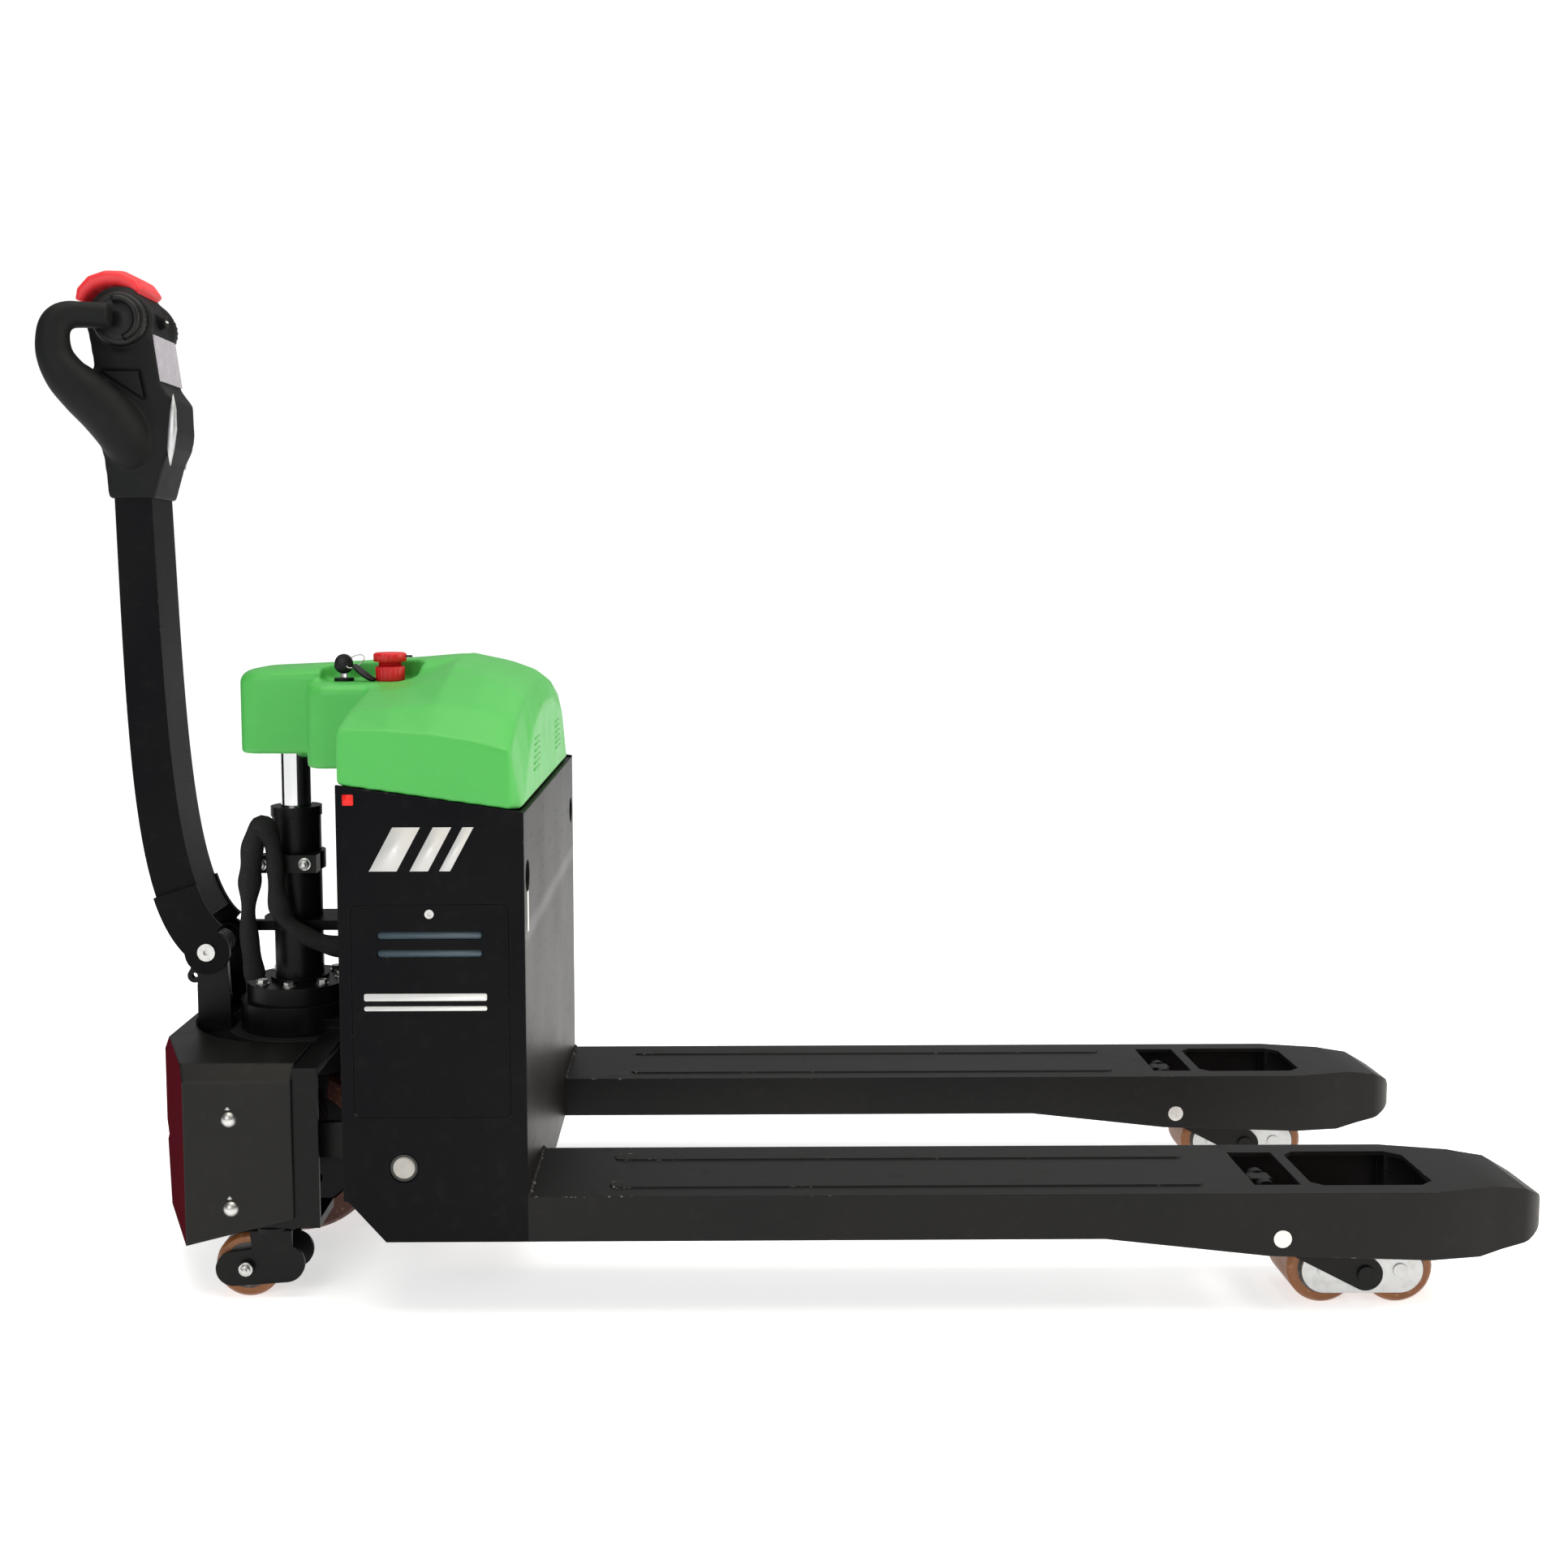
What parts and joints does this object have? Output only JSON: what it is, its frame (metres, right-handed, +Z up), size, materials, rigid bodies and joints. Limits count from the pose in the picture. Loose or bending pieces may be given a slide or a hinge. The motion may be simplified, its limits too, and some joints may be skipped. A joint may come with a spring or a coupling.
{
  "type": "electric pallet truck",
  "caption": "Walk-behind electric pallet truck: fork chassis, battery box, steered drive wheel with tiller, stabilising casters and rollers that rise with the lift.",
  "frame": {"origin": "on the floor, midway between the back of the grips and the fork tips, on the centre plane", "axes": "+X towards the fork tips, +Y to the left of someone facing them, +Z up"},
  "size_m": [1.7405, 0.5626, 1.197],
  "materials": {
    "frame_paint": "satin black, faint blue cast",
    "drive_paint": "satin black",
    "zinc": "zinc plated",
    "chrome": "polished hard chrome",
    "cast": "machined and painted casting",
    "hood_plastic": "moulded lime green, semi gloss",
    "head_plastic": "textured charcoal",
    "grip_rubber": "soft touch",
    "red_plastic": "moulded red",
    "display": "light grey overlay",
    "tyre_pu": "polyurethane, red brown",
    "black_plastic": "moulded black",
    "battery_case": "moulded case",
    "controller": "finned casting",
    "sleeve": "woven black sleeve",
    "spring_steel": "dark spring steel"
  },
  "bodies": {
    "chassis": {"fork_left": "frame_paint", "fork_right": "frame_paint", "face_plate": "frame_paint", "side_plate_left": "frame_paint", "side_plate_right": "frame_paint", "box_back": "frame_paint", "access_panels": "frame_paint", "panel_screws": "zinc", "linkage_pins": "zinc", "fork_pins": "zinc", "battery": "battery_case", "controller": "controller", "hydraulic_unit": "cast", "head_bracket": "frame_paint", "guide_bracket": "frame_paint", "hood": "hood_plastic", "estop_base": "red_plastic", "key_switch": "black_plastic", "piston_rod": "chrome"},
    "stop_button": {"estop_button": "red_plastic"},
    "ignition_key": {"key": "black_plastic"},
    "lift_base": {"cylinder_tube": "drive_paint", "cylinder_gland": "drive_paint", "cylinder_bolts": "zinc", "clamp_band": "drive_paint", "harness": "sleeve", "caster_frame": "drive_paint", "front_cover": "frame_paint", "cover_screws": "zinc"},
    "steer_unit": {"turntable": "cast", "gearbox": "cast", "drive_motor": "drive_paint", "tiller_base": "drive_paint", "tiller_spring": "spring_steel"},
    "drive_wheel": {"drive_hub": "cast", "drive_tyre": "tyre_pu"},
    "tiller": {"tiller_arm": "frame_paint", "tiller_pin": "zinc", "tiller_head": "head_plastic", "grips": "grip_rubber", "display_panel": "display"},
    "throttle": {"butterfly": "head_plastic"},
    "reverse": {"reverse_button": "red_plastic"},
    "raise_key": {"raise_button": "head_plastic"},
    "lower_key": {"lower_button": "head_plastic"},
    "horn_key": {"horn_button": "head_plastic"},
    "caster_left": {"caster_fork_left": "drive_paint"},
    "caster_right": {"caster_fork_right": "drive_paint"},
    "caster_roll_left": {"caster_wheel_left": "tyre_pu"},
    "caster_roll_right": {"caster_wheel_right": "tyre_pu"},
    "rocker": {"rocker": "drive_paint"},
    "push_rods": {"push_rods": "drive_paint"},
    "arm_left": {"roller_arm_left": "drive_paint"},
    "arm_right": {"roller_arm_right": "drive_paint"},
    "bogie_left": {"bogie_left": "zinc"},
    "bogie_right": {"bogie_right": "zinc"},
    "roll_left_heel": {"roller_left_heel": "tyre_pu"},
    "roll_left_tip": {"roller_left_tip": "tyre_pu"},
    "roll_right_heel": {"roller_right_heel": "tyre_pu"},
    "roll_right_tip": {"roller_right_tip": "tyre_pu"}
  },
  "joints": [
    {"name": "lift", "type": "slide", "parent": "chassis", "child": "lift_base", "axis": [0, 0, -1], "range_m": [-0.058, 0.057]},
    {"name": "steer", "type": "hinge", "parent": "lift_base", "child": "steer_unit", "pos_m": [-0.60025, 0, 0.28], "axis": [0, 0, 1], "range_deg": [-90, 90]},
    {"name": "drive", "type": "hinge", "parent": "steer_unit", "child": "drive_wheel", "pos_m": [-0.60025, 0, 0.105], "axis": [0, 1, 0], "continuous": true},
    {"name": "tiller_tilt", "type": "hinge", "parent": "steer_unit", "child": "tiller", "pos_m": [-0.70425, 0, 0.361], "axis": [0, -1, 0], "range_deg": [0, 80], "stiffness_Nm_per_rad": 18, "springref_deg": -68.75},
    {"name": "throttle", "type": "hinge", "parent": "tiller", "child": "throttle", "pos_m": [-0.78325, 0, 1.133], "axis": [0, 1, 0], "range_deg": [-30, 30], "stiffness_Nm_per_rad": 0.4},
    {"name": "reverse_press", "type": "slide", "parent": "tiller", "child": "reverse", "axis": [0, 0, -1], "range_m": [0, 0.005], "stiffness_N_per_m": 400},
    {"name": "raise_press", "type": "slide", "parent": "tiller", "child": "raise_key", "axis": [0, 1, 0], "range_m": [0, 0.002], "stiffness_N_per_m": 400},
    {"name": "lower_press", "type": "slide", "parent": "tiller", "child": "lower_key", "axis": [0, -1, 0], "range_m": [0, 0.002], "stiffness_N_per_m": 400},
    {"name": "horn_press", "type": "slide", "parent": "tiller", "child": "horn_key", "axis": [-1, 0, 0], "range_m": [0, 0.0025], "stiffness_N_per_m": 400},
    {"name": "stop_press", "type": "slide", "parent": "chassis", "child": "stop_button", "axis": [0, 0, -1], "range_m": [0, 0.005]},
    {"name": "key_turn", "type": "hinge", "parent": "chassis", "child": "ignition_key", "pos_m": [-0.52225, -0.06, 0.7], "axis": [0, 0, -1], "range_deg": [0, 60]},
    {"name": "caster_swivel_left", "type": "hinge", "parent": "lift_base", "child": "caster_left", "pos_m": [-0.58125, 0.198, 0.085], "axis": [0, 0, 1], "continuous": true},
    {"name": "caster_roll_left", "type": "hinge", "parent": "caster_left", "child": "caster_roll_left", "pos_m": [-0.60925, 0.198, 0.0375], "axis": [0, 1, 0], "continuous": true},
    {"name": "caster_swivel_right", "type": "hinge", "parent": "lift_base", "child": "caster_right", "pos_m": [-0.58125, -0.198, 0.085], "axis": [0, 0, 1], "continuous": true},
    {"name": "caster_roll_right", "type": "hinge", "parent": "caster_right", "child": "caster_roll_right", "pos_m": [-0.60925, -0.198, 0.0375], "axis": [0, 1, 0], "continuous": true},
    {"name": "rocker_turn", "type": "hinge", "parent": "chassis", "child": "rocker", "pos_m": [-0.41525, 0, 0.176], "axis": [0, -1, 0], "range_deg": [-20, 20]},
    {"name": "rod_turn", "type": "hinge", "parent": "rocker", "child": "push_rods", "pos_m": [-0.41525, 0, 0.124], "axis": [0, 1, 0], "range_deg": [-20, 20]},
    {"name": "arm_turn_left", "type": "hinge", "parent": "chassis", "child": "arm_left", "pos_m": [0.55468, 0.205, 0.091], "axis": [0, 1, 0], "range_deg": [-32, 32]},
    {"name": "bogie_rock_left", "type": "hinge", "parent": "arm_left", "child": "bogie_left", "pos_m": [0.65775, 0.205, 0.04], "axis": [0, -1, 0], "range_deg": [-32, 32]},
    {"name": "roll_left_heel", "type": "hinge", "parent": "bogie_left", "child": "roll_left_heel", "pos_m": [0.61525, 0.205, 0.04], "axis": [0, 1, 0], "continuous": true},
    {"name": "roll_left_tip", "type": "hinge", "parent": "bogie_left", "child": "roll_left_tip", "pos_m": [0.70025, 0.205, 0.04], "axis": [0, 1, 0], "continuous": true},
    {"name": "arm_turn_right", "type": "hinge", "parent": "chassis", "child": "arm_right", "pos_m": [0.55468, -0.205, 0.091], "axis": [0, 1, 0], "range_deg": [-32, 32]},
    {"name": "bogie_rock_right", "type": "hinge", "parent": "arm_right", "child": "bogie_right", "pos_m": [0.65775, -0.205, 0.04], "axis": [0, -1, 0], "range_deg": [-32, 32]},
    {"name": "roll_right_heel", "type": "hinge", "parent": "bogie_right", "child": "roll_right_heel", "pos_m": [0.61525, -0.205, 0.04], "axis": [0, 1, 0], "continuous": true},
    {"name": "roll_right_tip", "type": "hinge", "parent": "bogie_right", "child": "roll_right_tip", "pos_m": [0.70025, -0.205, 0.04], "axis": [0, 1, 0], "continuous": true}
  ],
  "couplings": [
    {"joint": "rocker_turn", "follows": "lift", "rad_per_m": 5.88},
    {"joint": "rod_turn", "follows": "lift", "rad_per_m": 5.88},
    {"joint": "arm_turn_left", "follows": "lift", "rad_per_m": 9.3},
    {"joint": "bogie_rock_left", "follows": "lift", "rad_per_m": 9.3},
    {"joint": "arm_turn_right", "follows": "lift", "rad_per_m": 9.3},
    {"joint": "bogie_rock_right", "follows": "lift", "rad_per_m": 9.3}
  ]
}
